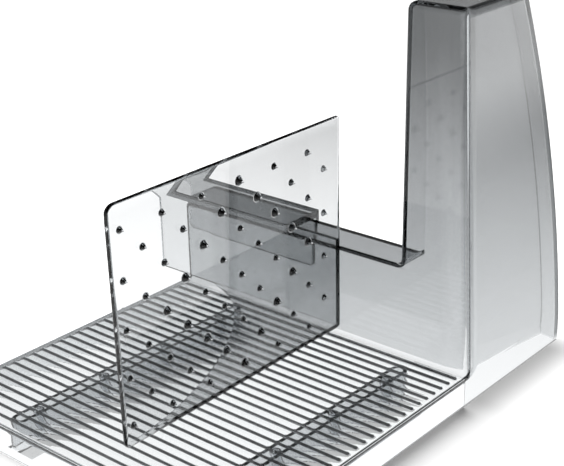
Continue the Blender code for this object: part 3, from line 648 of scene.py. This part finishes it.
def plateSkin():
    # a tall bar with round edges carried along the plate, thinned at its top rim and shortened
    # towards both ends by the corners' drop
    p = pusher
    front, rear = -p["front"], -p["rear"]
    ends = [front + radius * (1 - np.cos(arc(8))) for radius in (p["edge"], p["frontCorner"])]
    ends += [rear - radius * (1 - np.cos(arc(8))) for radius in (p["edge"], p["rearCorner"])]
    y = np.unique(np.round(np.concatenate(ends), 5))[:, None]
    toFront, toRear = y - front, rear - y
    half = 0.5 * p["thickness"] - edgeDrop(p["edge"], np.minimum(toFront, toRear))
    share = half / (0.5 * p["thickness"])
    radius = p["edge"] * share
    near = toFront < toRear
    topDrop = np.where(near, edgeDrop(p["frontCorner"], toFront), edgeDrop(p["rearCorner"], toRear))
    top = p["top"] - topDrop
    foot = p["lift"] + edgeDrop(p["footCorner"], np.minimum(toFront, toRear))
    thinning = p["rimThinning"] * share
    middle = -0.5 * p["thickness"]
    turn = arc(6)[None, :]
    depth = np.linspace(0.0, 1.0, 8)[None, 1:]
    x = np.hstack([
        middle + half - radius + radius * np.sin(turn), middle + half - radius + radius * np.cos(turn),
        middle - half + radius - radius * np.sin(turn) + thinning,
        middle - half + thinning * (1 - depth) ** 2,
        middle - half + radius - radius * np.cos(turn)])
    z = np.hstack([
        foot + radius * (1 - np.cos(turn)), top - radius * (1 - np.sin(turn)),
        top - radius * (1 - np.cos(turn)), top - radius - (p["rimHeight"] - radius) * depth,
        foot + radius * (1 - np.sin(turn))])
    # the plate widens with height, so that its front edge leans outwards
    return np.stack([x, y * (1 + p["lean"] * z / p["front"]), z], -1)


def loftMesh(name, rings):
    # a closed solid through rows of points, capped at both ends; drawn from the plate's spiked face
    rings = rings + np.array([-pusher["toBlade"], 0.0, 0.0])
    rows, count = rings.shape[:2]
    index = np.arange(rows * count).reshape(rows, count)
    return makeMesh(name, rings, gridFaces(rows, count, True), [index[0], index[-1]])


def buildSpikes():
    # a spike is turned from a profile, whose heights and radii are shares of its length and of half
    # its diameter: a small root, a cone and a rounded point
    p = pusher
    column, row = np.meshgrid(np.arange(p["columns"]), np.arange(1, p["rows"] + 1), indexing="ij")
    steps = np.abs(column - p["ringAt"][0]) + np.abs(row - p["ringAt"][1])
    used = (column + row) % 2 == 0
    y = (-p["firstColumn"] - p["columnPitch"] * column)[used]
    z = (p["rowBase"] + p["rowPitch"] * row)[used]
    big = (steps == p["ringSteps"])[used][:, None]
    diameter, length = (np.where(big, p["bigSpike"][part], p["spike"][part]) for part in (0, 1))
    height = np.array(p["spikeHeightShares"])[None, :]
    taper = np.array(p["spikeRadiusShares"])[None, :]
    x, radius = height * length, taper * 0.5 * diameter
    sides = 24
    angle = np.linspace(0.0, 2 * np.pi, sides, endpoint=False)
    pointY = y[:, None, None] + radius[..., None] * np.cos(angle)
    pointZ = z[:, None, None] + radius[..., None] * np.sin(angle)
    pointX = np.broadcast_to(x[..., None], pointY.shape) - p["toBlade"]
    points = np.stack([pointX, pointY, pointZ], -1)
    spikes, rings = points.shape[:2]
    index = np.arange(spikes * rings * sides).reshape(spikes, rings, sides)
    wrapped = np.concatenate([index, index[..., :1]], -1)
    lower, upper = wrapped[:, :-1], wrapped[:, 1:]
    faces = np.stack([lower[..., :-1], lower[..., 1:], upper[..., 1:], upper[..., :-1]], -1)
    return makeMesh("spikes", points, faces.reshape(-1, 4), np.concatenate([index[:, 0], index[:, -1]]))


def saddleSkin():
    # section across the wall: side panel, sheet over the wall, rear flange; both ends are rounded
    p = pusher
    along = p["saddleCorner"] * (1 - np.cos(arc(8)))
    x = np.unique(np.concatenate([-p["reach"] + along, -p["setback"] - along]))
    rise = edgeDrop(p["saddleCorner"], x + p["reach"])
    rearRise = np.maximum(rise, edgeDrop(p["saddleCorner"], -p["setback"] - x))
    frontOut, frontIn = -p["clearance"] - p["panel"], -p["clearance"]
    rearIn = guard["armThickness"] + p["clearance"]
    rearOut, under = rearIn + p["flange"], guard["armHeight"] + p["clearance"]
    top, edge, least = under + p["sheet"], p["saddleEdge"], guard["leastCorner"]
    panelBottom = p["webLift"] + 0.5 * p["web"]
    y, z = roundedRings([
        (frontOut, panelBottom + rise, least, least, 2),
        (frontIn, panelBottom + rise, least, least, 2),
        (frontIn, under, least, least, 3),
        (rearIn, under, least, least, 3),
        (rearIn, p["flangeBottom"] + rearRise, least, least, 2),
        (rearOut, p["flangeBottom"] + rearRise, least, least, 2),
        (rearOut, top, edge, edge, 8),
        (frontOut, top, edge, edge, 8),
    ])
    return np.stack([np.broadcast_to(x[:, None], y.shape), y, z], -1)


def panelSkin():
    # the saddle's side panel alone, carried on from the saddle's end to the plate
    p = pusher
    inner, outer = -p["clearance"], -p["clearance"] - p["panel"]
    top = guard["armHeight"] + p["clearance"] + p["sheet"]
    bottom = p["webLift"] + 0.5 * p["web"]
    least = guard["leastCorner"]
    y, z = roundedRings([
        (outer, bottom, least, least, 2), (inner, bottom, least, least, 2),
        (inner, top, least, least, 3), (outer, top, p["saddleEdge"], p["saddleEdge"], 8)])
    x = np.array([-p["setback"] - p["saddleCorner"], -0.5 * p["thickness"]])[:, None]
    return np.stack([np.broadcast_to(x, (2, y.shape[1])), y + 0 * x, z + 0 * x], -1)


def webSkin():
    # straight along the plate and the panel, with a hollow free edge:
    # (x / reach) ** power + (y / depth) ** power = 1
    p = pusher
    back = -0.5 * p["thickness"]
    panelFront = -p["clearance"] - p["panel"]
    rooted = panelFront + 0.5 * p["panel"]
    depth = p["front"] + panelFront - p["webFrontInset"]
    turn = quarter * np.linspace(*p["webSpan"], 41)
    exponent = 2.0 / p["webPower"]
    curveX = -p["thickness"] - p["webReach"] * np.cos(turn) ** exponent
    curveY = panelFront - depth * np.sin(turn) ** exponent
    x = np.concatenate([[back, curveX[0]], curveX, [curveX[-1], back]])
    y = np.concatenate([[rooted, rooted], curveY, [panelFront - depth] * 2])
    x = np.append(x, back)
    y = np.append(y, 0.5 * (rooted + panelFront - depth))
    bottom = p["webLift"]
    return np.stack([np.stack([x, y, np.full(len(x), z)], -1) for z in (bottom, bottom + p["web"])])


def buildPusher():
    piece = loftMesh("pusherMoulding", plateSkin())
    combine(piece, buildSpikes(), "UNION")
    for name, skin in (("saddle", saddleSkin()), ("sidePanel", panelSkin()), ("footWeb", webSkin())):
        combine(piece, loftMesh(name, skin), "UNION")
    piece.visible_shadow = False    # a lamp's shadow of such a clear sheet would come out far too dark
    finishPiece(piece, pusherPlastic, "pusher", "plate_plastic", "spiked_plate", "pusher_saddle")


buildTable()
for railName in rail["setbacks"]:
    buildRail(railName)
buildGuard()
buildPusher()


# Floor, light and camera

studio = {
    "floorRings": (0.01, 0.2, 0.5, 1.0, 3.0), "floorSides": 64,
    # seen straight, the floor is lit and glows a little, and turns plain white between two radii
    "floorWhite": 0.8, "floorGlow": 0.25, "litRadius": 0.30, "whiteRadius": 0.42, "plainWhite": 1.15,
    # through the plastic and in reflections it is a pool of light that dims outwards instead
    "poolCentre": (0.08, 0.0), "poolNarrow": 0.6, "poolTo": 0.58, "poolBright": 1.42, "poolEdge": 0.48,
    # a brighter patch of it, right of the part and behind, which the blade side mirrors
    "sideFrom": 0.24, "sideTo": 0.40, "sideNear": 0.12, "sideFar": 0.28, "sideBright": 2.45,
    # its dark fields: under the rails and the blade side, and for some millimetres beside each rail
    "contactDark": 0.05, "rimShade": 0.78, "railShade": 0.5, "railShadeReach": 7.0,
    # the guard's soft shade on the floor that is seen straight; its reach and ends in millimetres
    "guardShade": 0.62, "guardShadeReach": 22.0, "guardShadeFrom": -6.0, "shadeEnd": 12.0,
    "keyPlace": (-1.0, 0.10, 1.1), "keySize": 2.4, "keyPower": 74.0,
    "horizon": 0.55, "zenith": 0.04, "zenithAt": 0.6,    # brightness of the room, by height
}

camera = {
    "place": (0.23497, -0.388053, 0.24835),    # from the carriage's own zero point
    "turn": (1.17801893, 0.01919373, 0.70052088),
    "lens": 81.47, "sensor": 36.0, "clip": 0.01,
}


def glow(w, strength):
    return w.add("Emission", {}, {"Strength": strength})


def blend(w, share, one, other):
    return w.add("MixShader", {}, {0: share, 1: one, 2: other})


def softStep(w, value, low, high, first=0.0, last=1.0):
    # a smooth step from the first value, up to low, to the last one, from high on
    return w.add("MapRange", {"interpolation_type": "SMOOTHSTEP"}, {
        "Value": value, "From Min": low, "From Max": high, "To Min": first, "To Max": last})


def within(w, value, low, high):
    # 1 between low and high, else 0
    return w.add("Math", {"operation": "COMPARE"}, {
        0: value, 1: 0.5 * (low + high), 2: 0.5 * (high - low)})


def contactShade(w, x, y):
    # 1 where a rail stands on the floor, less beside its blade side and under the table's and the
    # guard's blade side, else 0
    half = 0.5 * rail["width"]
    front, rear = -table["front"] + rail["frontInset"], -rail["rear"]
    fields = [(-table["wall"], 0.0, -table["front"], guard["finDepth"], studio["rimShade"])]
    for setback in rail["setbacks"].values():
        for low in (-half, half - rail["wall"]):
            fields.append((low - setback, low + rail["wall"] - setback, front, rear, 1.0))
        low = half - setback
        fields.append((low, low + studio["railShadeReach"], front, rear, studio["railShade"]))
    zeroX, zeroY = carriageZero[:2]
    shade = None
    for left, right, near, far, weight in fields:
        inX = within(w, x, left * mm + zeroX, right * mm + zeroX)
        inY = within(w, y, near * mm + zeroY, far * mm + zeroY)
        field = inX * inY * weight
        shade = field if shade is None else shade.maths("MAXIMUM", shade, field)
    return shade


def guardShade(w, x, y):
    # the soft shade that the guard throws to its blade side: strongest at the guard's foot, 0 after
    # the reach, with soft ends
    edge, reach = carriageZero[0], studio["guardShadeReach"] * mm
    near, far = [value * mm + carriageZero[1] for value in (studio["guardShadeFrom"], guard["finDepth"])]
    soft = studio["shadeEnd"] * mm
    fall = softStep(w, x, edge, edge + reach, 1.0, 0.0) * within(w, x, edge, edge + reach)
    begin = softStep(w, y, near - soft, near + soft)
    end = softStep(w, y, far - soft, far + soft, 1.0, 0.0)
    return fall * begin * end * studio["guardShade"]


def buildFloor():
    # rings of points round the origin, (r cos a, r sin a). Light Path's first output is 1 where the
    # camera sees the floor itself, and it picks one of two looks
    s = studio
    radius, sides = np.array(s["floorRings"])[:, None], s["floorSides"]
    angle = np.linspace(0.0, 2 * np.pi, sides, endpoint=False)[None, :]
    points = np.stack([radius * np.cos(angle), radius * np.sin(angle), 0 * radius * angle], -1)
    faces = gridFaces(len(radius), sides, True).tolist() + [list(range(sides))]
    mesh = bpy.data.meshes.new("floor")
    mesh.from_pydata(points.reshape(-1, 3).tolist(), [], faces)
    floor = bpy.data.objects.new("floor", mesh)
    bpy.context.collection.objects.link(floor)
    material = bpy.data.materials.new("floor_white")
    w = Wiring(material)
    place = w.add("TexCoord", out=3)
    x, y = [w.add("SeparateXYZ", {}, {0: place}, out=axis) for axis in (0, 1)]

    # seen straight: lit white, with the guard's soft shade, and plain white further out
    away = w.add("VectorMath", {"operation": "LENGTH"}, {0: place}, out=1)
    fade = w.add("Clamp", {}, {0: (away - s["litRadius"]) * (1.0 / (s["whiteRadius"] - s["litRadius"]))})
    white = w.add("BsdfDiffuse", {}, {"Color": grey(s["floorWhite"])})
    lit = w.add("AddShader", {}, {0: white, 1: glow(w, s["floorGlow"])})
    shaded = blend(w, guardShade(w, x, y), lit, glow(w, 0.0))
    seen = blend(w, fade, shaded, glow(w, s["plainWhite"]))

    # through the plastic and in reflections: the pool, its bright patch and its dark fields
    narrow, (poolX, poolY) = s["poolNarrow"], s["poolCentre"]
    fromPool = w.add("Mapping", {}, {
        "Vector": place, "Location": (-narrow * poolX, -poolY, 0), "Scale": (narrow, 1, 0)})
    dim = softStep(w, w.add("VectorMath", {"operation": "LENGTH"}, {0: fromPool}, out=1), 0.0, s["poolTo"])
    pool = blend(w, dim, glow(w, s["poolBright"]), glow(w, s["poolEdge"]))
    patch = softStep(w, x, s["sideFrom"], s["sideTo"]) * softStep(w, y, s["sideNear"], s["sideFar"])
    mirrored = blend(w, patch, pool, glow(w, s["sideBright"]))
    through = blend(w, contactShade(w, x, y), mirrored, glow(w, s["contactDark"]))
    w.add("OutputMaterial", {}, {0: blend(w, w.add("LightPath"), through, seen)})
    mesh.materials.append(material)


def addArea(name, place, target, size, power):
    # a round lamp aimed at the target; the plastic neither mirrors it nor shows it
    lamp = bpy.data.lights.new(name, "AREA")
    lamp.shape, lamp.size, lamp.energy = "DISK", size, power
    holder = bpy.data.objects.new(name, lamp)
    bpy.context.collection.objects.link(holder)
    holder.location = place
    aim = Vector(np.array(target) - np.array(place))
    holder.rotation_euler = aim.to_track_quat("-Z", "Y").to_euler()
    holder.visible_glossy = holder.visible_transmission = False


def buildWorld():
    # nearly white straight into the camera; round the plastic a grey room that is darker higher up
    world = bpy.data.worlds.new("studio")
    bpy.context.scene.world = world
    w = Wiring(world)
    height = w.add("SeparateXYZ", {}, {0: w.add("TexCoord")}, out=2)
    stops = [(0.0, grey(studio["horizon"])), (studio["zenithAt"], grey(studio["zenith"]))]
    room = w.add("ValToRGB", {"stops": stops}, {0: height})
    around = w.add("Background", {}, {"Color": room})
    white = w.add("Background", {}, {"Strength": studio["plainWhite"]})
    w.add("OutputWorld", {}, {0: blend(w, w.add("LightPath"), around, white)})


buildFloor()
addArea("keyLight", studio["keyPlace"], (0, 0, 0), studio["keySize"], studio["keyPower"])
buildWorld()

lens = bpy.data.cameras.new("photoCamera")
lens.sensor_fit, lens.sensor_width, lens.lens = "HORIZONTAL", camera["sensor"], camera["lens"]
lens.clip_start = camera["clip"]
view = bpy.data.objects.new("photoCamera", lens)
view.location, view.rotation_euler = carriageZero + np.array(camera["place"]), camera["turn"]
bpy.context.collection.objects.link(view)
scene = bpy.context.scene
scene.camera = view
scene.view_settings.view_transform = "Standard"
scene.cycles.max_bounces = 32
scene.cycles.transmission_bounces = 32
scene.cycles.glossy_bounces = 12
scene.cycles.transparent_max_bounces = 16
scene.cycles.caustics_refractive = True
scene.cycles.use_denoising = True
print("studio ready")
